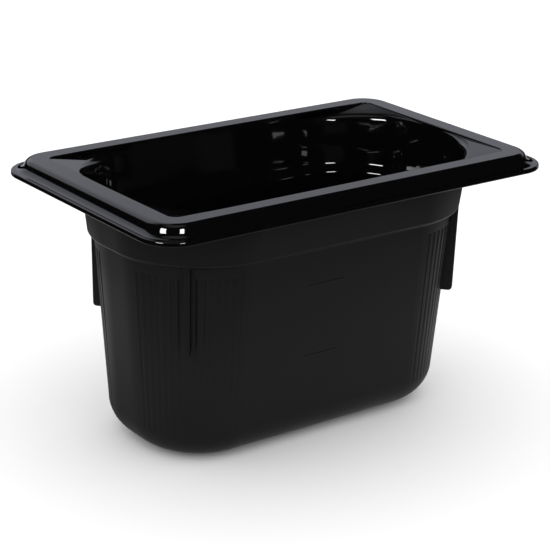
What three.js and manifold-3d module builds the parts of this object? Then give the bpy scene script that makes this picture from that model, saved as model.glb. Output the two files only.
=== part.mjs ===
// Deli food pan, one-ninth size: a black moulded basin that hangs by its rim.
// Millimetres, +Z up, X along the pan. The origin is the middle of the base.
//
// The pan is one moulding. Each zone of it with its own job is a solid of its own here:
// base, fluted wall, stacking collar, corner shelves, rim flange, outer lip, stacking lugs
// and the raised fill lines on the front wall.

import * as THREE from 'three';
import { mergeVertices } from 'three/addons/utils/BufferGeometryUtils.js';
import Module from 'manifold-3d';

const wasm = await Module();
wasm.setup();

// Overall size, over the rim
const LENGTH = 176;
const WIDTH = 108;
const HEIGHT = 101.6;

// Moulded skin
const WALL = 2.4;
const GAP = 0.1; // left between zones that meet on a curved face

// Heights, from the base up
const BASE_TOP = 14; // where the bottom fillet runs into the wall
const WALL_TOP = 77;
const COLLAR_SKIRT = 78.4; // lowest point of the collar's outer face
const INNER_LEDGE = 80; // where the inner stacking ledge starts
const LIP_BOTTOM = 95.6;
const LIP_TOP = 97.4;
const LAND_UNDERSIDE = HEIGHT - WALL;

// Basin plan: large corner arcs whose centres stay put from the base to the rim.
// Each face of the basin is set by its arc radius alone.
const ARC_CENTRE = { x: 38.3, y: (WIDTH - LENGTH) / 2 + 38.3 };
const BASE_RADIUS = 28.7; // outer face, at BASE_TOP
const WALL_RADIUS = 33.7; // outer face, at WALL_TOP
const COLLAR_RADIUS = 36.1; // outer face, at COLLAR_SKIRT
const COLLAR_TOP_RADIUS = 38.6; // outer face, under the land
const LEDGE_RADIUS = 33.7; // inner face, at INNER_LEDGE
const MOUTH_RADIUS = 36.5; // inner face, under the land

// Rim, as insets from the rim's outer edge and plan corner radii
const LIP_CORNER = 12.8;
const LIP_CHAMFER = 0.5;
const LAND_INSET = 6.6;
const LAND_CORNER = 9.2;
const MOUTH_INSET = 12.8;
const MOUTH_CORNER = 3.5;

// The step from the lip up to the land is an S: a hollow cove, then a round shoulder
const COVE_INSET = 1.2; // where the cove starts, on the lip
const COVE_SHARE = 0.55; // of the S
const COVE_STEPS = 3;
const SHOULDER_STEPS = 5;
const STEP_RUN = LAND_INSET - COVE_INSET;
const STEEPEST = 2 * Math.atan((HEIGHT - LIP_TOP) / STEP_RUN);
const COVE_RADIUS = (COVE_SHARE * STEP_RUN) / Math.sin(STEEPEST);
const SHOULDER_RADIUS = ((1 - COVE_SHARE) * STEP_RUN) / Math.sin(STEEPEST);
const LIP_END = Math.PI / 6; // slope of the cove where the lip meets the flange

// Corner shelves: flat, just below the land at the mouth's corners and falling from there
const SHELF_DROP = 0.23; // at the mouth's corners
const SHELF_FALL = {
  x: Math.tan(THREE.MathUtils.degToRad(5.8)), // along the pan
  y: Math.tan(THREE.MathUtils.degToRad(1.4)), // across it
};

// Flutes and stacking lugs, on each corner arc
const LUG_ANGLE = 48; // degrees from the long axis
const LUG_THICKNESS = 2.6;
const LUG_BOTTOM = 45;
const LUG_RADIUS = 35.4; // outer face, at LUG_BOTTOM
const LUG_END_RADIUS = 1.2;
const FLUTES_PER_SIDE = 7;
const FLUTE_FIRST = 4.6; // degrees from the lug
const FLUTE_PITCH = 4.9;
const FLUTE_RADIUS = 1.2;
const FLUTE_TOP = 73.5;
const FLUTE_DEPTH = { top: 0.35, bottom: 0.12 };

// Fill lines: low bars on the front wall
const FILL_LINES = [
  { name: 'fill_line_upper', z: 63.7, length: 16 },
  { name: 'fill_line_lower', z: 35.5, length: 15 },
];
const FILL_LINE_X = -5; // middle of both
const FILL_LINE_HEIGHT = 1;
const FILL_LINE_PROUD = 0.35;

const CORNERS = [
  { name: 'front_left', signX: -1, signY: -1 },
  { name: 'front_right', signX: 1, signY: -1 },
  { name: 'back_left', signX: -1, signY: 1 },
  { name: 'back_right', signX: 1, signY: 1 },
];

// Fineness
const ARC_STEPS = 12;
const FILLET_STEPS = 7;

const FAR = 200; // reaches past the pan in every direction

const glossBlack = new THREE.MeshStandardMaterial({ color: 0x0b0b0c, roughness: 0.18, metalness: 0 });
const satinBlack = new THREE.MeshStandardMaterial({ color: 0x141416, roughness: 0.48, metalness: 0 });

// --- Solids ---------------------------------------------------------------

function toSolid(geometry) {
  geometry.deleteAttribute('normal');
  geometry.deleteAttribute('uv');
  const merged = mergeVertices(geometry, 1e-4);
  const vertProperties = new Float32Array(merged.attributes.position.array);
  const triVerts = new Uint32Array(merged.index.array);
  return new wasm.Manifold(new wasm.Mesh({ numProp: 3, vertProperties, triVerts }));
}

function toGeometry(solid) {
  const { vertProperties, triVerts } = solid.getMesh();
  const geometry = new THREE.BufferGeometry();
  geometry.setAttribute('position', new THREE.BufferAttribute(vertProperties, 3));
  geometry.setIndex(new THREE.BufferAttribute(triVerts, 1));
  geometry.computeVertexNormals();
  return geometry;
}

// --- Plan outlines --------------------------------------------------------

// A point of a rim section: the rounded rectangle that it runs round, and its height.
function rimPoint(insetX, insetY, corner, z) {
  return { x: LENGTH / 2 - insetX, y: WIDTH / 2 - insetY, corner, z };
}

// The same for the basin, whose outlines share their arc centres.
function basinPoint(radius, z) {
  return { x: ARC_CENTRE.x + radius, y: ARC_CENTRE.y + radius, corner: radius, z };
}

function roundedRectangle({ x, y, corner }) {
  const shape = new THREE.Shape();
  shape.absarc(x - corner, y - corner, corner, 0, Math.PI / 2);
  shape.absarc(corner - x, y - corner, corner, Math.PI / 2, Math.PI);
  shape.absarc(corner - x, corner - y, corner, Math.PI, 1.5 * Math.PI);
  shape.absarc(x - corner, corner - y, corner, 1.5 * Math.PI, 2 * Math.PI);
  shape.closePath();
  return shape;
}

// A plate or plug with an outline's plan, between two heights.
function prism(outline, bottom, top) {
  const geometry = new THREE.ExtrudeGeometry(roundedRectangle(outline), {
    depth: top - bottom,
    bevelEnabled: false,
    curveSegments: ARC_STEPS / 2, // a quarter circle takes two steps for each
  });
  geometry.translate(0, 0, bottom);
  return toSolid(geometry);
}

// A closed section carried once round the pan. The lathe gives the ring of quads, and each
// column of it moves to its place on its own rounded rectangle. Outer points go upwards.
function frame(section) {
  const closed = [...section, section[0]];
  const columns = 4 * (ARC_STEPS + 1);
  const lathe = new THREE.LatheGeometry(closed.map((p) => new THREE.Vector2(p.x, p.z)), columns);
  const position = lathe.attributes.position;
  for (let i = 0; i < position.count; i += 1) {
    const column = Math.floor(i / closed.length) % columns;
    const point = closed[i % closed.length];
    const quadrant = Math.floor(column / (ARC_STEPS + 1));
    const angle = ((quadrant + (column % (ARC_STEPS + 1)) / ARC_STEPS) * Math.PI) / 2;
    const signX = quadrant === 0 || quadrant === 3 ? 1 : -1;
    const signY = quadrant < 2 ? 1 : -1;
    const x = signX * (point.x - point.corner) + point.corner * Math.cos(angle);
    const y = signY * (point.y - point.corner) + point.corner * Math.sin(angle);
    position.setXYZ(i, x, y, point.z);
  }
  return toSolid(lathe);
}

// --- Basin ----------------------------------------------------------------

function wallRadiusAt(z) {
  return THREE.MathUtils.mapLinear(z, BASE_TOP, WALL_TOP, BASE_RADIUS, WALL_RADIUS);
}

function innerRadiusAt(z) {
  return THREE.MathUtils.mapLinear(z, INNER_LEDGE, LAND_UNDERSIDE, LEDGE_RADIUS, MOUTH_RADIUS);
}

function filletPoints(radius, turn) {
  const points = [];
  for (let i = 0; i <= FILLET_STEPS; i += 1) {
    const angle = (i / FILLET_STEPS) * (Math.PI / 2);
    const reach = BASE_RADIUS - BASE_TOP + radius * Math.sin(angle);
    points.push(basinPoint(reach, BASE_TOP - radius * Math.cos(angle)));
  }
  return turn ? points.reverse() : points;
}

function basinBase() {
  const panelRadius = BASE_RADIUS - BASE_TOP;
  const tuck = 4; // how far the fillet's ring reaches under the flat panel
  const ring = [
    basinPoint(panelRadius - tuck, 0),
    ...filletPoints(BASE_TOP, false),
    ...filletPoints(BASE_TOP - WALL, true),
    basinPoint(panelRadius - tuck, WALL),
  ];
  const panel = prism(basinPoint(panelRadius - tuck / 2, 0), 0, WALL);
  return frame(ring).add(panel);
}

function flute(offset) {
  const top = wallRadiusAt(FLUTE_TOP) + FLUTE_RADIUS - FLUTE_DEPTH.top;
  const bottom = wallRadiusAt(BASE_TOP) + FLUTE_RADIUS - FLUTE_DEPTH.bottom;
  const height = FLUTE_TOP - BASE_TOP;
  const overrun = 1;
  const geometry = new THREE.CylinderGeometry(FLUTE_RADIUS, FLUTE_RADIUS, height + overrun, 14);
  geometry.rotateX(Math.PI / 2);
  geometry.translate(0, 0, -overrun / 2);
  geometry.rotateY(Math.atan2(top - bottom, height));
  geometry.translate((top + bottom) / 2, 0, (FLUTE_TOP + BASE_TOP) / 2);
  geometry.rotateZ(THREE.MathUtils.degToRad(LUG_ANGLE + offset));
  return geometry;
}

// A copy, in the given corner, of a geometry made round the arc centre of the back right one.
function placeInCorner(geometry, signX, signY) {
  const placed = geometry.clone();
  placed.translate(ARC_CENTRE.x, ARC_CENTRE.y, 0);
  placed.scale(signX, signY, 1);
  if (signX * signY < 0) flipFaces(placed);
  return placed;
}

function flipFaces(geometry) {
  const index = geometry.index;
  for (let i = 0; i < index.count; i += 3) {
    const first = index.getX(i);
    index.setX(i, index.getX(i + 1));
    index.setX(i + 1, first);
  }
}

function basinWall() {
  let wall = frame([
    basinPoint(BASE_RADIUS, BASE_TOP),
    basinPoint(WALL_RADIUS, WALL_TOP),
    basinPoint(WALL_RADIUS - WALL, WALL_TOP),
    basinPoint(BASE_RADIUS - WALL, BASE_TOP),
  ]);
  for (const { signX, signY } of CORNERS) {
    for (let i = 0; i < FLUTES_PER_SIDE; i += 1) {
      const offset = FLUTE_FIRST + i * FLUTE_PITCH;
      for (const side of [offset, -offset]) {
        wall = wall.subtract(toSolid(placeInCorner(flute(side), signX, signY)));
      }
    }
  }
  return wall;
}

// The collar stands out from the wall by one skin, so that pans nest down to its ledge.
function stackingCollar() {
  let collar = frame([
    basinPoint(WALL_RADIUS, WALL_TOP),
    basinPoint(COLLAR_RADIUS, COLLAR_SKIRT),
    basinPoint(COLLAR_TOP_RADIUS, LAND_UNDERSIDE),
    basinPoint(MOUTH_RADIUS, LAND_UNDERSIDE),
    basinPoint(LEDGE_RADIUS, INNER_LEDGE),
    basinPoint(WALL_RADIUS - WALL, WALL_TOP),
  ]);
  for (const { signX, signY } of CORNERS) {
    collar = collar.subtract(cornerBlock(signX, signY, -GAP, -WALL - GAP, FAR));
  }
  return collar;
}

// --- Corner shelves -------------------------------------------------------

function shelfTopAt(x, y) {
  const fromEnd = LENGTH / 2 - MOUTH_INSET - x;
  const fromSide = WIDTH / 2 - MOUTH_INSET - y;
  return HEIGHT - SHELF_DROP - SHELF_FALL.x * fromEnd - SHELF_FALL.y * fromSide;
}

// A block over one corner of the pan, from `side` outside its arc centre. Its bottom and top
// follow the slope of the shelf, at these heights from the shelf's top face.
function cornerBlock(signX, signY, side, bottom, top) {
  const geometry = new THREE.BoxGeometry(FAR, FAR, 1);
  geometry.translate(FAR / 2 + side, FAR / 2 + side, 0);
  const position = geometry.attributes.position;
  for (let i = 0; i < position.count; i += 1) {
    const shelf = shelfTopAt(ARC_CENTRE.x + position.getX(i), ARC_CENTRE.y + position.getY(i));
    position.setZ(i, shelf + (position.getZ(i) > 0 ? top : bottom));
  }
  return toSolid(placeInCorner(geometry, signX, signY));
}

// Everything outside the basin's inner face, up to the rim.
function outsideBasin() {
  return frame([
    basinPoint(LEDGE_RADIUS, INNER_LEDGE),
    basinPoint(FAR, INNER_LEDGE),
    basinPoint(FAR, HEIGHT),
    basinPoint(innerRadiusAt(HEIGHT), HEIGHT),
  ]);
}

// Everything outside the mouth below the land, where it has the same draft as the basin.
function outsideMouth() {
  const foot = MOUTH_INSET + MOUTH_RADIUS - LEDGE_RADIUS;
  return frame([
    rimPoint(foot, foot, MOUTH_CORNER, INNER_LEDGE),
    rimPoint(-FAR, -FAR, MOUTH_CORNER, INNER_LEDGE),
    rimPoint(-FAR, -FAR, MOUTH_CORNER, LAND_UNDERSIDE),
    rimPoint(MOUTH_INSET, MOUTH_INSET, MOUTH_CORNER, LAND_UNDERSIDE),
  ]);
}

// A shelf fills the corner between the square mouth and the round basin, with an upstand
// that meets the underside of the land.
function cornerShelf(signX, signY) {
  const mouth = rimPoint(MOUTH_INSET, MOUTH_INSET, MOUTH_CORNER);
  const upstandInset = MOUTH_INSET - WALL;
  const upstand = rimPoint(upstandInset, upstandInset, MOUTH_CORNER + WALL);
  const wall = cornerBlock(signX, signY, GAP, -WALL, FAR)
    .intersect(prism(upstand, INNER_LEDGE, LAND_UNDERSIDE))
    .intersect(outsideMouth());
  const slab = cornerBlock(signX, signY, GAP, -WALL, 0).intersect(prism(mouth, INNER_LEDGE, HEIGHT));
  return wall.add(slab).intersect(outsideBasin());
}

// --- Rim ------------------------------------------------------------------

// A point of the rim's outer face, whose corners tighten evenly towards the land.
function edgePoint(inset, z) {
  return rimPoint(inset, inset, LIP_CORNER - ((LIP_CORNER - LAND_CORNER) * inset) / LAND_INSET, z);
}

// The hollow foot of the step, between two slopes.
function cove(start, end) {
  const points = [];
  for (let i = 0; i <= COVE_STEPS; i += 1) {
    const slope = THREE.MathUtils.lerp(start, end, i / COVE_STEPS);
    const inset = COVE_INSET + COVE_RADIUS * Math.sin(slope);
    points.push(edgePoint(inset, LIP_TOP + COVE_RADIUS * (1 - Math.cos(slope))));
  }
  return points;
}

// The round shoulder, from just above the steepest part of the step up to the flat land.
function shoulder() {
  const points = [];
  for (let i = 1; i <= SHOULDER_STEPS; i += 1) {
    const slope = STEEPEST * (1 - i / SHOULDER_STEPS);
    const inset = LAND_INSET - SHOULDER_RADIUS * Math.sin(slope);
    points.push(edgePoint(inset, HEIGHT - SHOULDER_RADIUS * (1 - Math.cos(slope))));
  }
  return points;
}

function outerLip() {
  const hollow = cove(0, LIP_END);
  return frame([
    edgePoint(LIP_CHAMFER, LIP_BOTTOM),
    edgePoint(0, LIP_BOTTOM + LIP_CHAMFER),
    edgePoint(0, LIP_TOP - LIP_CHAMFER),
    edgePoint(LIP_CHAMFER, LIP_TOP),
    ...hollow,
    { ...hollow.at(-1), z: LIP_BOTTOM },
  ]);
}

// The flange is an upturned channel: land on top, step outside, open underneath.
function rimFlange() {
  const outside = [...cove(LIP_END, STEEPEST), ...shoulder()];
  const footInset = COVE_INSET + COVE_RADIUS * Math.sin(LIP_END) + WALL;
  return frame([
    { ...outside[0], z: LIP_BOTTOM },
    ...outside,
    rimPoint(MOUTH_INSET, MOUTH_INSET, MOUTH_CORNER, HEIGHT),
    rimPoint(MOUTH_INSET, MOUTH_INSET, MOUTH_CORNER, LAND_UNDERSIDE),
    edgePoint(LAND_INSET, LAND_UNDERSIDE),
    edgePoint(footInset, LIP_BOTTOM),
  ]);
}

// --- Lugs and fill lines --------------------------------------------------

// A fin hanging from the collar, flush with it outside and standing on the wall inside.
function lug() {
  const arcX = LUG_RADIUS - LUG_END_RADIUS;
  const arcZ = LUG_BOTTOM + LUG_END_RADIUS;
  const shape = new THREE.Shape();
  shape.moveTo(wallRadiusAt(LUG_BOTTOM) + GAP, LUG_BOTTOM);
  shape.lineTo(arcX, LUG_BOTTOM);
  shape.absarc(arcX, arcZ, LUG_END_RADIUS, -Math.PI / 2, 0);
  shape.lineTo(COLLAR_RADIUS, COLLAR_SKIRT - GAP);
  shape.lineTo(WALL_RADIUS + GAP, WALL_TOP - GAP);
  shape.closePath();
  const geometry = new THREE.ExtrudeGeometry(shape, {
    depth: LUG_THICKNESS,
    bevelEnabled: false,
    curveSegments: 4,
  });
  geometry.rotateX(Math.PI / 2);
  geometry.translate(0, LUG_THICKNESS / 2, 0);
  geometry.rotateZ(THREE.MathUtils.degToRad(LUG_ANGLE));
  return mergeVertices(geometry);
}

function fillLine({ z, length }) {
  const face = (height) => ARC_CENTRE.y + wallRadiusAt(height);
  const low = z - FILL_LINE_HEIGHT / 2;
  const high = z + FILL_LINE_HEIGHT / 2;
  const bevel = FILL_LINE_PROUD / 2;
  const shape = new THREE.Shape([
    new THREE.Vector2(-face(low), low),
    new THREE.Vector2(-face(high), high),
    new THREE.Vector2(-face(high) - FILL_LINE_PROUD, high - bevel),
    new THREE.Vector2(-face(low) - FILL_LINE_PROUD, low + bevel),
  ]);
  const geometry = new THREE.ExtrudeGeometry(shape, { depth: length, bevelEnabled: false });
  geometry.rotateX(Math.PI / 2);
  geometry.rotateZ(Math.PI / 2);
  geometry.translate(FILL_LINE_X - length / 2, 0, 0);
  return geometry;
}

// --- The pan --------------------------------------------------------------

const pan = new THREE.Group();

function addPart(name, geometry, material) {
  const mesh = new THREE.Mesh(geometry, material);
  mesh.name = name;
  pan.add(mesh);
}

addPart('basin_base', toGeometry(basinBase()), satinBlack);
addPart('basin_wall', toGeometry(basinWall()), satinBlack);
addPart('stacking_collar', toGeometry(stackingCollar()), satinBlack);
addPart('rim_flange', toGeometry(rimFlange()), glossBlack);
addPart('outer_lip', toGeometry(outerLip()), glossBlack);
for (const { name, signX, signY } of CORNERS) {
  addPart(`corner_shelf_${name}`, toGeometry(cornerShelf(signX, signY)), glossBlack);
  addPart(`stacking_lug_${name}`, placeInCorner(lug(), signX, signY), satinBlack);
}
for (const line of FILL_LINES) {
  addPart(line.name, fillLine(line), satinBlack);
}

export default pan;
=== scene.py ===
"""The looks of a black moulded food pan, one-ninth size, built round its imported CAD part.

Lengths are in millimetres until a mesh is made, in the part's own frame: X along the pan, Z up.
In plan the pan is a rounded rectangle. Its corner arcs keep their centres from base to rim, so
each face of the basin is set by its arc radius. A column is one upright half-plane that starts
from a centre, or from the line between two, and each piece is a section carried round the
columns. A section is a list of points, each a distance out along the column and a height.
"""

import math

import bmesh
import bpy
import numpy as np
from mathutils import Matrix, Vector

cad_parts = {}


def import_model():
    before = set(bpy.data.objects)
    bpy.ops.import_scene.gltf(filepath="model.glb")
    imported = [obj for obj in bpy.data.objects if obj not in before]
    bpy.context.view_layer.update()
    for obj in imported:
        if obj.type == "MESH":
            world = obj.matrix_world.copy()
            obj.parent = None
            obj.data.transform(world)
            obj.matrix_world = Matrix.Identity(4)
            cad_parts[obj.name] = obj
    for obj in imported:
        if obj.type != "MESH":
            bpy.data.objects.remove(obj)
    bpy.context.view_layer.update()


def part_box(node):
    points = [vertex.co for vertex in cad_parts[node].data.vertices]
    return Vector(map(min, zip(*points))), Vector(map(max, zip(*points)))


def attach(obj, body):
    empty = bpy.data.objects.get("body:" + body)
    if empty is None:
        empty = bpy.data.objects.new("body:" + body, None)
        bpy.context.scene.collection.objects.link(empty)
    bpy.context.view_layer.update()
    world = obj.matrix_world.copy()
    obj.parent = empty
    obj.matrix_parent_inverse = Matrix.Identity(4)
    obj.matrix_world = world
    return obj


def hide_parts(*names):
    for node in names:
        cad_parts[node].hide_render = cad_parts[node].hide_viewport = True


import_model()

MM = 0.001

# --- Sizes, from the CAD nodes where they have them ------------------------------------------


def low(node):
    """The lowest corner of a CAD node's box, in millimetres."""
    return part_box(node)[0] / MM


def high(node):
    """The highest corner of a CAD node's box, in millimetres."""
    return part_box(node)[1] / MM


HALF_LENGTH = high("outer_lip").x
HALF_WIDTH = high("outer_lip").y
HEIGHT = high("rim_flange").z
BASE_TOP = high("basin_base").z
WALL_TOP = high("basin_wall").z
LIP_BOTTOM = low("outer_lip").z
LIP_TOP = 97.4
LAND_UNDERSIDE = high("stacking_collar").z

SKIN = HEIGHT - LAND_UNDERSIDE
CENTRE_X = 38.3
CENTRE_Y = HALF_WIDTH - HALF_LENGTH + CENTRE_X

BASE_RADIUS = high("basin_base").x - CENTRE_X
BASE_BORDER = 1.5
WALL_RADIUS = high("basin_wall").x - CENTRE_X
COLLAR_FOOT = 78.4
COLLAR_RADIUS = 36.1
COLLAR_TOP_RADIUS = high("stacking_collar").x - CENTRE_X
COLLAR_EDGE_ROUNDING = 1.4
COLLAR_FILLET = 0.5
COLLAR_SEAM = WALL_TOP - 0.8
COLLAR_START = WALL_TOP + 0.1
LEDGE_TOP = 80.8
LEDGE_FOOT = 77.6
LEDGE_RADIUS = 33.7
LEDGE_EDGE_ROUNDING = 2
LEDGE_FILLET = 1.5

MOUTH_INSET = 12.8
MOUTH_CORNER = 3.5
MOUTH_RADIUS = HALF_LENGTH - MOUTH_INSET - CENTRE_X
MOUTH_DRAFT = (MOUTH_RADIUS - LEDGE_RADIUS) / (HEIGHT - LEDGE_TOP)
MOUTH_ROUNDING = 0.9
MOUTH_ROUNDING_SHARE = 0.45

LIP_CORNER = 12.8
LIP_TOP_ROUNDING = 0.6
LIP_BOTTOM_ROUNDING = 0.5
LAND_INSET = 6.6
LAND_CORNER = 9.2
COVE_INSET = 1.2
COVE_SHARE = 0.55
STEP_SLOPE = math.radians(66)
LIP_SEAM_SLOPE = math.radians(30)
RIM_INNER_FILLET = 1.5

SHELF_DROP = 0.23
SHELF_FALL_ALONG = math.tan(math.radians(5.8))
SHELF_FALL_ACROSS = math.tan(math.radians(1.4))
SHELF_EDGE_ROUNDING = 3
SHELF_FILLET = 0.35
SHELF_FILLET_SHARE = 0.4
SHELF_GAP = 0.02
SHELF_SEAM_BELOW_EDGE = 2.2 * SHELF_EDGE_ROUNDING
SHELF_SEAM_BELOW_LAND = 0.2

LUG_ANGLE = math.radians(48)
LUG_THICKNESS = 2.4
LUG_BOTTOM = low("stacking_lug_back_right").z
LUG_RADIUS = 35.4
LUG_CORNER = 1.4
LUG_ROOT = 0.6
LUG_BEVEL = 0.4
LUG_UNDER_COLLAR = 0.8
LUG_HEAD = 1.5

FLUTES_PER_SIDE = 7
FLUTE_FIRST = math.radians(4.6)
FLUTE_PITCH = math.radians(4.9)
FLUTE_HALF_WIDTH = 0.8
FLUTE_MARGIN = 1.3
FLUTE_TOP = 73.5
FLUTE_RUN_OUT = 0.3
FLUTE_DEPTH_TOP = 0.35
FLUTE_DEPTH_BOTTOM = 0.12
FLUTE_ROUNDNESS = 0.75

FILL_LINE_PROUD = 0.15
FILL_LINE_ROOT = 0.5
FILL_LINE_BEVEL = 0.12
FILL_LINE_EDGE = 0.02

LONG_STEPS = 6
LONG_STEPS_GLOSS = 12
SHORT_STEPS = 2
ANGLE_GAP = math.radians(0.12)

QUADRANTS = {"back_right": (1, 1), "back_left": (-1, 1), "front_left": (-1, -1), "front_right": (1, -1)}

# --- Columns ---------------------------------------------------------------------------------


class Columns:
    """Upright half-planes round the pan: where each starts, which way it goes, and its angle
    from the long axis, folded into the first quadrant."""

    def __init__(self, starts, ways, angles):
        self.starts = np.array(starts, float)
        self.ways = np.array(ways, float)
        self.angles = np.array(angles, float)


def corner_columns(quadrant, angles):
    """The columns of one corner, which all start from its centre."""
    sign_x, sign_y = QUADRANTS[quadrant]
    order = angles if sign_x * sign_y > 0 else angles[::-1]
    starts = [(sign_x * CENTRE_X, sign_y * CENTRE_Y)] * len(order)
    ways = [(sign_x * math.cos(a), sign_y * math.sin(a)) for a in order]
    return Columns(starts, ways, order)


def side_columns(quadrant, steps):
    """The columns between the end of a quadrant's corner and the start of the next."""
    sign_x, sign_y = QUADRANTS[quadrant]
    across = [1 - 2 * i / steps for i in range(1, steps)]
    if sign_x * sign_y > 0:
        starts = [(sign_x * CENTRE_X * s, sign_y * CENTRE_Y) for s in across]
        return Columns(starts, [(0, sign_y)] * len(across), [math.pi / 2] * len(across))
    starts = [(sign_x * CENTRE_X, sign_y * CENTRE_Y * s) for s in across]
    return Columns(starts, [(sign_x, 0)] * len(across), [0.0] * len(across))


def joined(parts):
    """Sets of columns as one, in their order."""
    parts = [p for p in parts if len(p.angles)]
    return Columns(
        np.concatenate([p.starts for p in parts]),
        np.concatenate([p.ways for p in parts]),
        np.concatenate([p.angles for p in parts]),
    )


def ring(angles, long_steps):
    """Columns right round the pan, anticlockwise."""
    parts = []
    for quadrant, (sign_x, sign_y) in QUADRANTS.items():
        parts.append(corner_columns(quadrant, angles))
        parts.append(side_columns(quadrant, long_steps if sign_x * sign_y > 0 else SHORT_STEPS))
    return joined(parts)


def even_angles(steps):
    """A quarter turn in even steps."""
    return [i / steps * math.pi / 2 for i in range(steps + 1)]


def merged_angles(*lists):
    """All the angles in order, without those that all but repeat another."""
    merged = []
    for angle in sorted(a for angles in lists for a in angles if 0 <= a <= math.pi / 2):
        if not merged or angle - merged[-1] > ANGLE_GAP:
            merged.append(angle)
    merged[-1] = math.pi / 2
    return merged


def arc_angles(inset, corner, steps):
    """The angles at which columns meet a rim outline's corner arc in even steps."""
    x = HALF_LENGTH - inset - corner - CENTRE_X
    y = HALF_WIDTH - inset - corner - CENTRE_Y
    turns = even_angles(steps)
    return [math.atan2(y + corner * math.sin(t), x + corner * math.cos(t)) for t in turns]


def flute_angles():
    """The middles of the flutes on one corner arc."""
    offsets = [FLUTE_FIRST + i * FLUTE_PITCH for i in range(FLUTES_PER_SIDE)]
    return [LUG_ANGLE + side * offset for offset in offsets for side in (-1, 1)]


def fluted_angles():
    """The columns of the outer wall: even ones, and a set across each flute and its edges."""
    widths = np.array([-FLUTE_MARGIN, *np.linspace(-1, 1, 9), FLUTE_MARGIN])
    across = FLUTE_HALF_WIDTH / WALL_RADIUS * widths
    return merged_angles(even_angles(30), [a + w for a in flute_angles() for w in across])


def rim_angles():
    """The columns of the rim, which divide each of its corner arcs evenly."""
    return merged_angles(
        even_angles(24),
        arc_angles(0, LIP_CORNER, 20),
        arc_angles(LAND_INSET, LAND_CORNER, 16),
        arc_angles(MOUTH_INSET, MOUTH_CORNER, 14),
    )


# --- Distances out along a column --------------------------------------------------------------


def reach(columns, inset, corner):
    """How far out the columns meet a rounded rectangle, at this inset from the rim's edge."""
    out_x = HALF_LENGTH - inset - CENTRE_X
    out_y = HALF_WIDTH - inset - CENTRE_Y
    cos = np.maximum(np.cos(columns.angles), 1e-9)
    sin = np.maximum(np.sin(columns.angles), 1e-9)
    to_end, to_side = out_x / cos, out_y / sin
    centre_x, centre_y = out_x - corner, out_y - corner
    along = centre_x * cos + centre_y * sin
    squared = along**2 - centre_x**2 - centre_y**2 + corner**2
    to_arc = along + np.sqrt(np.maximum(squared, 0))
    on_end = to_end * sin <= centre_y
    on_side = to_side * cos <= centre_x
    return np.where(on_end, to_end, np.where(on_side, to_side, to_arc))


def mouth_reach(columns, z):
    """The drafted face of the mouth, from the land down to the shelves."""
    inset = MOUTH_INSET + MOUTH_DRAFT * (HEIGHT - z)
    return reach(columns, inset, MOUTH_CORNER)


def inner_radius(z):
    """The inner face of the basin above its ledge."""
    return MOUTH_RADIUS - MOUTH_DRAFT * (HEIGHT - z)


def wall_radius(z):
    """The outer face of the basin below the collar, straight on through the bottom fillet."""
    return BASE_RADIUS + (WALL_RADIUS - BASE_RADIUS) * (z - BASE_TOP) / (WALL_TOP - BASE_TOP)


def collar_radius(z):
    """The outer face of the collar."""
    slope = (COLLAR_TOP_RADIUS - COLLAR_RADIUS) / (LAND_UNDERSIDE - COLLAR_FOOT)
    return COLLAR_RADIUS + slope * (z - COLLAR_FOOT)


def shelf_depth(columns, out):
    """How far the shelf plane is below the land, at a distance out. It is closest to it at the
    corner of the mouth, and falls both ways from there."""
    from_end = MOUTH_RADIUS - out * np.cos(columns.angles)
    from_side = MOUTH_RADIUS - out * np.sin(columns.angles)
    return SHELF_DROP + SHELF_FALL_ALONG * from_end + SHELF_FALL_ACROSS * from_side


def shelf_underside(columns):
    """The height at which a shelf's underside meets the collar's outer face."""
    return HEIGHT - shelf_depth(columns, collar_radius(LAND_UNDERSIDE)) - SKIN


def where_shelf_meets(columns, face):
    """Where the shelf plane meets a face that leans, worked out by closing in on it."""
    z = HEIGHT
    for _ in range(6):
        z = HEIGHT - shelf_depth(columns, face(z))
    return face(z), z


def shelf_corners(columns):
    """Where the shelf plane meets the mouth's face, and where it meets the basin's."""
    foot = where_shelf_meets(columns, lambda z: mouth_reach(columns, z))
    edge = where_shelf_meets(columns, inner_radius)
    return foot, edge


# --- Sections ----------------------------------------------------------------------------------

LARGEST_CUT = 0.49


def spread(columns, point):
    """A section point as one row of (out, height) pairs, one for each column."""
    out, z = point[:2]
    shape = (len(columns.angles),)
    return np.stack([np.broadcast_to(out, shape), np.broadcast_to(z, shape)], axis=1)


def rounded(columns, corners, steps=6):
    """The rows of a chain of corners. A corner is (out, height) or (out, height, radius)."""
    rows = [spread(columns, c) for c in corners]
    chain = [rows[0]]
    for i in range(1, len(rows) - 1):
        if len(corners[i]) == 2:
            chain.append(rows[i])
        else:
            chain.extend(corner_arc(rows[i - 1], rows[i], rows[i + 1], corners[i][2], steps))
    chain.append(rows[-1])
    return chain


def corner_arc(before, here, after, radius, steps):
    """Rows on the arc that rounds one corner, as a rational quadratic, which is a true circle."""
    back, ahead = before - here, after - here
    back_length = np.linalg.norm(back, axis=1) + 1e-9
    ahead_length = np.linalg.norm(ahead, axis=1) + 1e-9
    back /= back_length[:, None]
    ahead /= ahead_length[:, None]
    half = np.arccos(np.clip(np.sum(back * ahead, axis=1), -1, 1)) / 2
    cut = np.minimum(radius / np.tan(half), LARGEST_CUT * np.minimum(back_length, ahead_length))
    start = here + back * cut[:, None]
    end = here + ahead * cut[:, None]
    middle = np.sin(half)[:, None]
    arc = []
    for s in np.linspace(0, 1, steps + 1):
        weights = (1 - s) ** 2, 2 * s * (1 - s) * middle, s**2
        arc.append((start * weights[0] + here * weights[1] + end * weights[2]) / sum(weights))
    return arc


def solid_points(columns, rows):
    """The section's points in space, in metres: columns by rows."""
    grid = np.stack(rows, axis=1)
    plan = columns.starts[:, None, :] + columns.ways[:, None, :] * grid[:, :, :1]
    return np.concatenate([plan, grid[:, :, 1:]], axis=2) * MM


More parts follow.
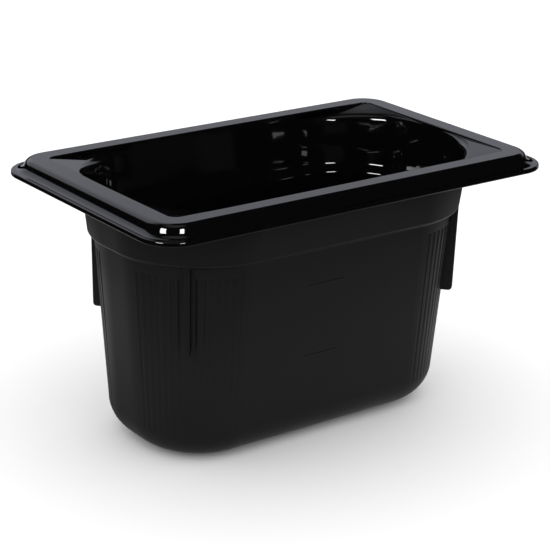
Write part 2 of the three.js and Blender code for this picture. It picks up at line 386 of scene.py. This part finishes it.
# --- Meshes --------------------------------------------------------------------------------------

WELD = 0.004 * MM
SHARP = math.radians(32)


def strip_faces(columns, rows, closed_round, closed_section):
    """Quads between neighbouring columns and rows, with their row, facing out of the section."""
    faces = []
    for i in range(columns if closed_round else columns - 1):
        for j in range(rows if closed_section else rows - 1):
            right, up = (i + 1) % columns, (j + 1) % rows
            corners = ((i, j), (right, j), (right, up), (i, up))
            faces.append(([c * rows + r for c, r in corners], j))
    return faces


def make_piece(name, node, points, faces, materials, inside_from=None):
    """One closed piece that stands for a CAD node. Faces from row inside_from on take the
    second material."""
    mesh = bpy.data.meshes.new(name)
    mesh.from_pydata(points.reshape(-1, 3).tolist(), [], [f for f, _ in faces])
    for material in materials:
        mesh.materials.append(material)
    if inside_from is not None:
        index = [1 if row >= inside_from else 0 for _, row in faces]
        mesh.polygons.foreach_set("material_index", index)
    work = bmesh.new()
    work.from_mesh(mesh)
    bmesh.ops.remove_doubles(work, verts=work.verts, dist=WELD)
    bmesh.ops.dissolve_degenerate(work, edges=work.edges, dist=WELD / 4)
    work.to_mesh(mesh)
    work.free()
    finish_mesh(mesh)
    add_piece(name, mesh, node)


def finish_mesh(mesh):
    """Smooth shading that still breaks at real edges."""
    mesh.shade_smooth()
    mesh.set_sharp_from_angle(angle=SHARP)


def add_piece(name, mesh, node):
    """A mesh as a piece of the pan, in place of its CAD node."""
    piece = bpy.data.objects.new(name, mesh)
    bpy.context.scene.collection.objects.link(piece)
    flatten = piece.modifiers.new("flat_faces_stay_flat", "WEIGHTED_NORMAL")
    flatten.keep_sharp = True
    flatten.weight = 80
    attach(piece, "root")
    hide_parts(node)


def ring_piece(name, node, columns, rows, materials, inside_from=None):
    """A closed section carried right round the pan."""
    points = solid_points(columns, rows)
    faces = strip_faces(len(columns.angles), len(rows), True, True)
    make_piece(name, node, points, faces, materials, inside_from)


# --- Basin ---------------------------------------------------------------------------------------


def flute_shape(columns):
    """How deep the flutes are at each column, from 0 between them to 1 in the middle of one."""
    shape = np.zeros(len(columns.angles))
    for middle in flute_angles():
        across = (columns.angles - middle) * WALL_RADIUS / FLUTE_HALF_WIDTH
        shape = np.maximum(shape, np.clip(1 - across**2, 0, 1) ** FLUTE_ROUNDNESS)
    return shape


def fluted(columns, radius, z):
    """The outer face at a height. A flute's floor runs straight down, so the fillet ends it."""
    share = (z - BASE_TOP) / (FLUTE_TOP - BASE_TOP)
    depth = FLUTE_DEPTH_BOTTOM + (FLUTE_DEPTH_TOP - FLUTE_DEPTH_BOTTOM) * share
    open_end = min(max((FLUTE_TOP - z) / FLUTE_RUN_OUT, 0), 1)
    floor = depth * flute_shape(columns) * open_end
    return radius - np.maximum(floor - (wall_radius(z) - radius), 0)


def fillet_rows(columns, radius, steps, outside):
    """Rows up the bottom fillet, whose centre is level with the top of the base."""
    panel = BASE_RADIUS - BASE_TOP
    rows = []
    for i in range(steps + 1):
        angle = i / steps * math.pi / 2
        out = panel + radius * math.sin(angle)
        z = BASE_TOP - radius * math.cos(angle)
        rows.append((fluted(columns, out, z) if outside else out, z))
    return rows


def basin_base(satin, gloss):
    """The flat base and the bottom fillet, closed by a flat face below and another inside."""
    columns = ring(fluted_angles(), LONG_STEPS)
    border = BASE_RADIUS - BASE_TOP - BASE_BORDER
    outer = [(border, 0), *fillet_rows(columns, BASE_TOP, 20, True)]
    inner = [*fillet_rows(columns, BASE_TOP - SKIN, 14, False)[::-1], (border, SKIN)]
    rows = [spread(columns, p) for p in outer + inner]
    points = solid_points(columns, rows)
    count = len(columns.angles)
    faces = strip_faces(count, len(rows), True, False)
    underside = [i * len(rows) for i in range(count)]
    floor = [i * len(rows) + len(rows) - 1 for i in range(count)]
    faces.append((underside[::-1], 0))
    faces.append((floor, len(rows)))
    make_piece("pan_base", "basin_base", points, faces, [satin, gloss], len(outer))


def basin_wall(satin, gloss):
    """The fluted wall, with rows close together where the flutes run out at the top."""
    columns = ring(fluted_angles(), LONG_STEPS)
    heights = [
        *np.linspace(BASE_TOP, FLUTE_TOP - 2, 8),
        *[FLUTE_TOP - FLUTE_RUN_OUT * below for below in (2, 1, 2 / 3, 1 / 3, 0)],
        FLUTE_TOP + 1,
        COLLAR_SEAM,
    ]
    outer = [(fluted(columns, wall_radius(z), z), z) for z in heights]
    inner = [(wall_radius(z) - SKIN, z) for z in (COLLAR_SEAM, BASE_TOP)]
    rows = [spread(columns, p) for p in outer + inner]
    ring_piece("pan_wall", "basin_wall", columns, rows, [satin, gloss], len(outer))


def seam_under_shelf(columns):
    """Where the collar ends and a shelf starts, on the basin's inner face."""
    edge_z = shelf_corners(columns)[1][1]
    z = np.minimum(edge_z - SHELF_SEAM_BELOW_EDGE, LAND_UNDERSIDE - SHELF_SEAM_BELOW_LAND)
    return inner_radius(z), z


def stacking_collar(satin, gloss):
    """The collar. It stops under the shelves at the corners, and under the land elsewhere."""
    parts = []
    for quadrant, (sign_x, sign_y) in QUADRANTS.items():
        steps = LONG_STEPS if sign_x * sign_y > 0 else SHORT_STEPS
        parts.append((corner_columns(quadrant, even_angles(40)), True))
        parts.append((ends_and_side(quadrant, steps), False))
    sections = [collar_section(columns, under_shelf) for columns, under_shelf in parts]
    columns = joined([p[0] for p in parts])
    rows = [np.concatenate(rows) for rows in zip(*[s[0] for s in sections])]
    ring_piece(
        "pan_collar", "stacking_collar", columns, rows, [satin, gloss], sections[0][1]
    )


def ends_and_side(quadrant, steps):
    """A side's columns together with the two that it shares with its corners."""
    side = side_columns(quadrant, steps)
    names = list(QUADRANTS)
    following = names[(names.index(quadrant) + 1) % len(names)]
    angle = [side.angles[0]]
    return joined([corner_columns(quadrant, angle), side, corner_columns(following, angle)])


def collar_section(columns, under_shelf):
    """Rows of the collar, and the row at which its inside starts."""
    top_z = LAND_UNDERSIDE
    seam = (inner_radius(top_z), top_z)
    if under_shelf:
        top_z = shelf_underside(columns)
        seam = seam_under_shelf(columns)
    outer = rounded(
        columns,
        [
            (wall_radius(COLLAR_SEAM), COLLAR_SEAM),
            (wall_radius(COLLAR_START), COLLAR_START, COLLAR_FILLET),
            (COLLAR_RADIUS, COLLAR_FOOT, COLLAR_EDGE_ROUNDING),
            (collar_radius(top_z), top_z),
        ],
    )
    inner = rounded(
        columns,
        [
            seam,
            (LEDGE_RADIUS, LEDGE_TOP, LEDGE_EDGE_ROUNDING),
            (wall_radius(LEDGE_FOOT) - SKIN, LEDGE_FOOT, LEDGE_FILLET),
            (wall_radius(COLLAR_SEAM) - SKIN, COLLAR_SEAM),
        ],
        steps=8,
    )
    return outer + inner, len(outer)


# --- Rim -----------------------------------------------------------------------------------------


def mouth_rounding(columns):
    """The rounding of the land's inner edge. It is smaller where a shelf is close below it."""
    foot_z = shelf_corners(columns)[0][1]
    return np.minimum(MOUTH_ROUNDING, MOUTH_ROUNDING_SHARE * (HEIGHT - foot_z))


def land_edge(columns):
    """Rows round the land's inner edge, from the land down to where a shelf takes over."""
    foot = shelf_corners(columns)[0]
    land = (reach(columns, LAND_INSET, LAND_CORNER), HEIGHT)
    edge = (mouth_reach(columns, HEIGHT), HEIGHT, mouth_rounding(columns))
    return rounded(columns, [land, edge, foot])[1:-1]


def rim_row(columns, inset, z):
    """A row of the rim's outer face, whose corners tighten evenly towards the land."""
    corner = LIP_CORNER - (LIP_CORNER - LAND_CORNER) * inset / LAND_INSET
    return spread(columns, (reach(columns, inset, corner), z))


def step_radii():
    """The step's cove and shoulder, whose arcs meet a short straight face at the step's slope."""
    run, rise = LAND_INSET - COVE_INSET, HEIGHT - LIP_TOP
    both = (run * math.sin(STEP_SLOPE) - rise * math.cos(STEP_SLOPE)) / (1 - math.cos(STEP_SLOPE))
    return COVE_SHARE * both, (1 - COVE_SHARE) * both


def lip_seam_inset():
    """Where the lip meets the flange, part of the way up the cove."""
    return COVE_INSET + step_radii()[0] * math.sin(LIP_SEAM_SLOPE)


def cove_rows(columns, start, end, steps):
    """Rows on the hollow curve between the lip and the step, between two slopes."""
    radius = step_radii()[0]
    rows = []
    for slope in np.linspace(start, end, steps + 1):
        z = LIP_TOP + radius * (1 - math.cos(slope))
        rows.append(rim_row(columns, COVE_INSET + radius * math.sin(slope), z))
    return rows


def shoulder_rows(columns, steps):
    """Rows on the round shoulder, from the straight part of the step up to the flat land."""
    radius = step_radii()[1]
    rows = []
    for slope in np.linspace(STEP_SLOPE, 0, steps + 1):
        z = HEIGHT - radius * (1 - math.cos(slope))
        rows.append(rim_row(columns, LAND_INSET - radius * math.sin(slope), z))
    return rows


def rim_flange(gloss):
    """The land and the step: an upturned channel that is open underneath."""
    columns = ring(rim_angles(), LONG_STEPS_GLOSS)
    seam_inset = lip_seam_inset()
    outer = [
        rim_row(columns, seam_inset, LIP_BOTTOM),
        *cove_rows(columns, LIP_SEAM_SLOPE, STEP_SLOPE, steps=8),
        *shoulder_rows(columns, steps=12),
    ]
    foot = rim_row(columns, seam_inset + SKIN, LIP_BOTTOM)
    inner = rounded(
        columns,
        [
            (mouth_reach(columns, LAND_UNDERSIDE), LAND_UNDERSIDE),
            (reach(columns, LAND_INSET, LAND_CORNER), LAND_UNDERSIDE, RIM_INNER_FILLET),
            (foot[:, 0], LIP_BOTTOM),
        ],
    )
    rows = outer + land_edge(columns) + inner
    ring_piece("pan_rim", "rim_flange", columns, rows, [gloss])


def outer_lip(gloss):
    """The lip, and the start of the cove inside it."""
    columns = ring(rim_angles(), LONG_STEPS_GLOSS)
    cove = cove_rows(columns, 0, LIP_SEAM_SLOPE, steps=5)
    edge = reach(columns, 0, LIP_CORNER)
    under = rim_row(columns, lip_seam_inset(), LIP_BOTTOM)
    rows = rounded(
        columns,
        [
            (under[:, 0], LIP_BOTTOM),
            (edge, LIP_BOTTOM, LIP_BOTTOM_ROUNDING),
            (edge, LIP_TOP, LIP_TOP_ROUNDING),
            (cove[0][:, 0], LIP_TOP),
        ],
    )
    ring_piece("pan_lip", "outer_lip", columns, rows + cove[1:], [gloss])


def corner_shelf(quadrant, gloss):
    """The shelf in one corner of the mouth, with its upstand under the land."""
    columns = corner_columns(quadrant, rim_angles())
    foot, edge = shelf_corners(columns)
    seam = seam_under_shelf(columns)
    width = np.hypot(foot[0] - edge[0], foot[1] - edge[1])
    rise = HEIGHT - foot[1]
    foot_rounding = np.minimum(SHELF_FILLET, SHELF_FILLET_SHARE * np.minimum(width, rise))
    land_end = land_edge(columns)[-1]
    top = rounded(
        columns,
        [
            (land_end[:, 0], land_end[:, 1]),
            (*foot, foot_rounding),
            (*edge, SHELF_EDGE_ROUNDING),
            seam,
        ],
        steps=10,
    )
    underside_z = foot[1] - SKIN
    collar_z = shelf_underside(columns)
    behind = mouth_reach(columns, LAND_UNDERSIDE) + SKIN
    behind = np.maximum(behind, collar_radius(collar_z) + SHELF_GAP)
    hidden = [
        (collar_radius(collar_z), collar_z),
        (behind, underside_z),
        (behind, LAND_UNDERSIDE),
        (mouth_reach(columns, LAND_UNDERSIDE), LAND_UNDERSIDE),
    ]
    rows = top + [spread(columns, p) for p in hidden]
    points = solid_points(columns, rows)
    count = len(columns.angles)
    faces = strip_faces(count, len(rows), False, True)
    faces.append((list(range(len(rows)))[::-1], 0))
    faces.append(([(count - 1) * len(rows) + j for j in range(len(rows))], 0))
    node = f"corner_shelf_{quadrant}"
    make_piece(f"pan_shelf_{quadrant}", node, points, faces, [gloss])


# --- Lugs and fill lines -----------------------------------------------------------------------


def slab_piece(name, node, outline, thickness, place, bevel, material):
    """An outline in (out, height), in millimetres, given a thickness, placed and bevelled."""
    work = bmesh.new()
    sides = []
    for across in (-thickness / 2, thickness / 2):
        points = [place @ Vector((out, across, z)) * MM for out, z in outline]
        sides.append([work.verts.new(p) for p in points])
    work.faces.new(sides[0])
    work.faces.new(sides[1][::-1])
    for i in range(len(outline)):
        j = (i + 1) % len(outline)
        work.faces.new((sides[0][j], sides[0][i], sides[1][i], sides[1][j]))
    bmesh.ops.recalc_face_normals(work, faces=work.faces)
    rim = [e for e in work.edges if e.verts[0] in sides[0] and e.verts[1] in sides[0]]
    rim += [e for e in work.edges if e.verts[0] in sides[1] and e.verts[1] in sides[1]]
    bmesh.ops.bevel(work, geom=rim, offset=bevel * MM, segments=4, profile=0.5, affect="EDGES")
    mesh = bpy.data.meshes.new(name)
    work.to_mesh(mesh)
    work.free()
    mesh.materials.append(material)
    finish_mesh(mesh)
    add_piece(name, mesh, node)


def arc_points(centre, radius, start, end, steps):
    """Points along an arc, whose angles are in degrees."""
    angles = np.radians(np.linspace(start, end, steps + 1))
    return [(centre[0] + radius * math.cos(a), centre[1] + radius * math.sin(a)) for a in angles]


def stacking_lug(quadrant, satin):
    """An upright fin, from under the collar half way down the wall."""
    sign_x, sign_y = QUADRANTS[quadrant]
    centre = (LUG_RADIUS - LUG_CORNER, LUG_BOTTOM + LUG_CORNER)
    outline = [
        (wall_radius(LUG_BOTTOM) - LUG_ROOT, LUG_BOTTOM),
        *arc_points(centre, LUG_CORNER, -90, 0, steps=8),
        (COLLAR_RADIUS, COLLAR_FOOT + LUG_UNDER_COLLAR),
        (wall_radius(WALL_TOP) - LUG_ROOT, WALL_TOP + LUG_HEAD),
    ]
    turn = math.atan2(sign_y * math.sin(LUG_ANGLE), sign_x * math.cos(LUG_ANGLE))
    place = Matrix.Translation((sign_x * CENTRE_X, sign_y * CENTRE_Y, 0))
    place = place @ Matrix.Rotation(turn, 4, "Z")
    name, node = f"pan_lug_{quadrant}", f"stacking_lug_{quadrant}"
    slab_piece(name, node, outline, LUG_THICKNESS, place, LUG_BEVEL, satin)


def fill_line(name, satin):
    """A low bar on the front wall, with a rounded face and rounded ends."""
    node = f"fill_line_{name}"
    left, right = low(node).x, high(node).x
    middle = (low(node).z + high(node).z) / 2
    half = (high(node).z - low(node).z) / 2
    face = CENTRE_Y + wall_radius(middle)
    outline = [(face - FILL_LINE_ROOT, middle - half)]
    for across in np.linspace(-1, 1, 9):
        out = face + FILL_LINE_PROUD * math.sqrt(max(1 - across**2, 0)) - FILL_LINE_EDGE
        outline.append((out, middle + half * across))
    outline.append((face - FILL_LINE_ROOT, middle + half))
    place = Matrix.Translation(((left + right) / 2, 0, 0)) @ Matrix.Rotation(-math.pi / 2, 4, "Z")
    length = right - left
    slab_piece(f"pan_{node}", node, outline, length, place, FILL_LINE_BEVEL, satin)


# --- Materials -----------------------------------------------------------------------------------


class Nodes:
    """Builds a material's node tree in short calls."""

    def __init__(self, name):
        self.material = bpy.data.materials.new(name)
        self.material.use_nodes = True
        self.tree = self.material.node_tree
        self.tree.nodes.clear()

    def add(self, kind, **settings):
        """A new node with these settings."""
        node = self.tree.nodes.new(kind)
        for key, value in settings.items():
            setattr(node, key, value)
        return node

    def link(self, source, target):
        self.tree.links.new(source, target)

    def noise(self, vector, scale, detail=2.0, roughness=0.5):
        """Noise in row coordinates. Scale is in features per metre."""
        node = self.add("ShaderNodeTexNoise")
        node.inputs["Scale"].default_value = scale
        node.inputs["Detail"].default_value = detail
        node.inputs["Roughness"].default_value = roughness
        self.link(vector, node.inputs["Vector"])
        return node.outputs["Fac"]

    def stretched(self, factors):
        """The point in the row's frame, with each axis scaled."""
        coordinates = self.add("ShaderNodeTexCoord")
        mapping = self.add("ShaderNodeMapping")
        mapping.inputs["Scale"].default_value = factors
        self.link(coordinates.outputs["Object"], mapping.inputs["Vector"])
        return mapping.outputs["Vector"]

    def map_range(self, value, from_low, from_high, to_low, to_high):
        node = self.add("ShaderNodeMapRange")
        self.link(value, node.inputs["Value"])
        node.inputs["From Min"].default_value = from_low
        node.inputs["From Max"].default_value = from_high
        node.inputs["To Min"].default_value = to_low
        node.inputs["To Max"].default_value = to_high
        return node.outputs["Result"]

    def maths(self, operation, first, second):
        node = self.add("ShaderNodeMath", operation=operation)
        for socket, value in zip(node.inputs, (first, second)):
            if isinstance(value, (int, float)):
                socket.default_value = value
            else:
                self.link(value, socket)
        return node.outputs["Value"]

    def mixed_colour(self, factor, first, second):
        node = self.add("ShaderNodeMix", data_type="RGBA")
        node.inputs["A"].default_value = (*first, 1)
        node.inputs["B"].default_value = (*second, 1)
        self.link(factor, node.inputs["Factor"])
        return node.outputs["Result"]

    def bump(self, height, distance, below=None):
        """A bumped normal, on top of another one if that is given. Distance is in metres."""
        node = self.add("ShaderNodeBump")
        node.inputs["Strength"].default_value = 1.0
        node.inputs["Distance"].default_value = distance
        self.link(height, node.inputs["Height"])
        if below is not None:
            self.link(below, node.inputs["Normal"])
        return node.outputs["Normal"]


def gloss_plastic():
    """Polished black plastic: the rim and the inside of the basin."""
    n = Nodes("gloss_black")
    everywhere = n.stretched((1, 1, 1))
    shader = n.add("ShaderNodeBsdfPrincipled")
    shader.inputs["IOR"].default_value = 1.52
    shader.inputs["Specular IOR Level"].default_value = 0.5
    haze = n.noise(everywhere, 60, detail=3)
    base = n.mixed_colour(haze, (0.0012, 0.0012, 0.0013), (0.0022, 0.0022, 0.0024))
    n.link(base, shader.inputs["Base Color"])
    n.link(n.map_range(haze, 0.3, 0.7, 0.035, 0.06), shader.inputs["Roughness"])
    ripple = n.bump(n.noise(everywhere, 110, detail=1), 0.00002)
    n.link(ripple, shader.inputs["Normal"])
    output = n.add("ShaderNodeOutputMaterial")
    n.link(shader.outputs["BSDF"], output.inputs["Surface"])
    return n.material


def satin_plastic():
    """The same plastic off a fine-textured mould face: the outside of the basin."""
    n = Nodes("satin_black")
    everywhere = n.stretched((1, 1, 1))
    shader = n.add("ShaderNodeBsdfPrincipled")
    shader.inputs["IOR"].default_value = 1.5
    shader.inputs["Specular IOR Level"].default_value = 0.45
    cloud = n.noise(everywhere, 35, detail=4)
    base = n.mixed_colour(cloud, (0.0031, 0.0026, 0.0039), (0.0044, 0.0039, 0.0052))
    n.link(base, shader.inputs["Base Color"])
    n.link(n.map_range(cloud, 0.3, 0.7, 0.34, 0.44), shader.inputs["Roughness"])
    texture = n.bump(n.noise(everywhere, 5000, detail=2), 0.000008)
    ripple = n.bump(n.noise(everywhere, 60, detail=1), 0.00004, below=texture)
    n.link(ripple, shader.inputs["Normal"])
    output = n.add("ShaderNodeOutputMaterial")
    n.link(shader.outputs["BSDF"], output.inputs["Surface"])
    return n.material


# --- Stage ---------------------------------------------------------------------------------------

CAMERA_TARGET = Vector((5.95, 8.72, 50))
CAMERA_DISTANCE = 725.4
CAMERA_AZIMUTH = math.radians(-37.23)
CAMERA_ELEVATION = math.radians(20.15)
CAMERA_ROLL = math.radians(1.52)
CAMERA_LENS = 123.6

RIM_MIDDLE = Vector((0, 0, 90))
BOX_DISTANCE = 1100
BOX_RADIANCE = 26
SHEET_DISTANCE = 1500
BEHIND_THE_PAN = math.radians(143)
FLOOR_HALF_WIDTH = 4000
FLOOR_BELOW_BASE = 0.2
SURROUND_STRENGTH = 1.42
SHADE_HALF_LENGTH = 67
SHADE_HALF_WIDTH = 33


def direction(azimuth, elevation):
    """The way from the pan towards something. Azimuth 0 is in front, and 90 to the right."""
    level = math.cos(elevation)
    return Vector((math.sin(azimuth) * level, -math.cos(azimuth) * level, math.sin(elevation)))


def camera():
    """The fitted view of the photograph."""
    data = bpy.data.cameras.new("camera")
    data.lens = CAMERA_LENS
    data.sensor_width = 36
    data.clip_start = 0.05
    data.clip_end = 20
    view = bpy.data.objects.new("camera", data)
    bpy.context.scene.collection.objects.link(view)
    back = direction(CAMERA_AZIMUTH, CAMERA_ELEVATION)
    turn = back.to_track_quat("Z", "Y").to_matrix().to_4x4() @ Matrix.Rotation(CAMERA_ROLL, 4, "Z")
    view.matrix_world = Matrix.Translation((CAMERA_TARGET + back * CAMERA_DISTANCE) * MM) @ turn
    bpy.context.scene.camera = view


def softbox(name, azimuth, elevation, width, height):
    """A rectangular light. Angles are in degrees round the middle of the rim, and sizes in mm."""
    data = bpy.data.lights.new(name, "AREA")
    data.shape = "RECTANGLE"
    data.size = width * MM
    data.size_y = height * MM
    data.energy = BOX_RADIANCE * math.pi * data.size * data.size_y
    lamp = bpy.data.objects.new(name, data)
    lamp.visible_diffuse = False
    bpy.context.scene.collection.objects.link(lamp)
    way = direction(math.radians(azimuth), math.radians(elevation))
    turn = way.to_track_quat("Z", "Y").to_matrix().to_4x4()
    lamp.matrix_world = Matrix.Translation((RIM_MIDDLE + way * BOX_DISTANCE) * MM) @ turn


def floor():
    """The pale ground, which is hidden from reflections."""
    material = bpy.data.materials.new("floor")
    material.use_nodes = True
    shader = material.node_tree.nodes["Principled BSDF"]
    shader.inputs["Base Color"].default_value = (0.86, 0.86, 0.86, 1)
    shader.inputs["Roughness"].default_value = 0.9
    half = FLOOR_HALF_WIDTH * MM
    mesh = bpy.data.meshes.new("floor")
    corners = [(-half, -half, 0), (half, -half, 0), (half, half, 0), (-half, half, 0)]
    mesh.from_pydata(corners, [], [(0, 1, 2, 3)])
    mesh.materials.append(material)
    plane = bpy.data.objects.new("floor", mesh)
    plane.location.z = -FLOOR_BELOW_BASE * MM
    plane.visible_glossy = False
    bpy.context.scene.collection.objects.link(plane)


def smooth(value, start, end):
    """0 before start and 1 after end, with a soft change between them. End may come first."""
    share = min(max((value - start) / (end - start), 0), 1)
    return share * share * (3 - 2 * share)


def glow_sheet(name, points, glows, columns, brightness, colour=(1, 1, 1)):
    """A sheet that is seen only in reflections. It is a grid of points in millimetres, and each
    has its own share of the brightness, where 1 is a white page."""
    mesh = bpy.data.meshes.new(name)
    faces = strip_faces(columns, len(points) // columns, False, False)
    mesh.from_pydata([Vector(p) * MM for p in points], [], [f for f, _ in faces])
    share = mesh.attributes.new("glow", "FLOAT", "POINT")
    share.data.foreach_set("value", glows)
    n = Nodes(name)
    glow = n.add("ShaderNodeAttribute", attribute_name="glow")
    emission = n.add("ShaderNodeEmission")
    emission.inputs["Color"].default_value = (*colour, 1)
    n.link(n.maths("MULTIPLY", glow.outputs["Fac"], brightness), emission.inputs["Strength"])
    n.link(emission.outputs["Emission"], n.add("ShaderNodeOutputMaterial").inputs["Surface"])
    n.material.cycles.emission_sampling = "NONE"
    mesh.materials.append(n.material)
    sheet = bpy.data.objects.new(name, mesh)
    sheet.visible_camera = False
    sheet.visible_diffuse = False
    sheet.visible_shadow = False
    bpy.context.scene.collection.objects.link(sheet)


def backdrop():
    """A white sweep behind the pan, seen from in front on the left, with soft edges. It stands
    higher and brighter on its left, and a dark gap parts it from the bright floor below. All
    its numbers are angles in degrees, apart from the shares of brightness."""
    points = []
    glows = []
    azimuths = [*range(70, 140, 5), *range(140, 221)]
    elevations = range(-40, 71)
    for azimuth in azimuths:
        bright = 0.6 + 0.4 * smooth(azimuth, 150, 168)
        across = smooth(azimuth, 80, 105) * smooth(azimuth, 214, 209) * bright
        left = smooth(azimuth, 144, 154)
        top = 22 + 22 * left
        fade = 3 + 17 * left
        for elevation in elevations:
            way = direction(math.radians(azimuth), math.radians(elevation))
            points.append(RIM_MIDDLE + way * SHEET_DISTANCE)
            upper = smooth(elevation, top + fade, top) * smooth(elevation, 11, 13)
            lower = smooth(elevation, -38, -22) * smooth(elevation, 2, -6)
            glows.append(across * (upper + lower))
    glow_sheet("backdrop", points, glows, len(azimuths), 0.98, (0.88, 0.9, 1))


def overhead():
    """A dim ceiling panel, which lets the rim's flat top show from above."""
    points = []
    glows = []
    steps = range(-700, 701, 50)
    for y in steps:
        for x in steps:
            points.append((x, y, SHEET_DISTANCE))
            glows.append(smooth(math.hypot(x, y), 650, 350))
    glow_sheet("overhead", points, glows, len(steps), 0.35)


def floor_glow():
    """The bright floor round the pan, as it shows in the pan's downward faces: a painted reflection of
    the floor. It is brighter towards the backdrop, which is painted light, and darker close to the
    base, which is a painted shadow of the pan on the floor."""
    behind = direction(BEHIND_THE_PAN, 0)
    points = []
    glows = []
    steps = range(-400, 401, 20)
    for x in steps:
        for y in steps:
            past_end = max(abs(x) - SHADE_HALF_LENGTH, 0)
            past_side = max(abs(y) - SHADE_HALF_WIDTH, 0)
            away = math.hypot(past_end, past_side)
            # Painted light: the reflected floor is brighter towards the backdrop.
            lit = 0.3 + 0.7 * smooth(behind.dot((x, y, 0)), -40, 130)
            points.append((x, y, -1))
            # The last factor is a painted shadow of the pan, darker close to its base.
            glows.append(lit * smooth(away, 240, 50) * (0.7 + 0.3 * smooth(away, 0, 60)))
    glow_sheet("floor_glow", points, glows, len(steps), 0.9)


def world():
    """An even white surround, which is hidden from reflections too."""
    scene = bpy.context.scene
    scene.world = bpy.data.worlds.new("studio")
    scene.world.use_nodes = True
    background = scene.world.node_tree.nodes["Background"]
    background.inputs["Color"].default_value = (1, 1, 1, 1)
    background.inputs["Strength"].default_value = SURROUND_STRENGTH
    scene.world.cycles_visibility.glossy = False
    scene.view_settings.view_transform = "Standard"


def lights():
    """Two lamps, and the three sheets that only reflections see."""
    softbox("left_box", -75, 33, 330, 320)
    softbox("front_box", -5, 33, 220, 260)
    backdrop()
    overhead()
    floor_glow()


def main():
    gloss = gloss_plastic()
    satin = satin_plastic()
    basin_base(satin, gloss)
    basin_wall(satin, gloss)
    stacking_collar(satin, gloss)
    rim_flange(gloss)
    outer_lip(gloss)
    for quadrant in QUADRANTS:
        corner_shelf(quadrant, gloss)
        stacking_lug(quadrant, satin)
    for name in ("upper", "lower"):
        fill_line(name, satin)
    world()
    floor()
    lights()
    camera()


main()
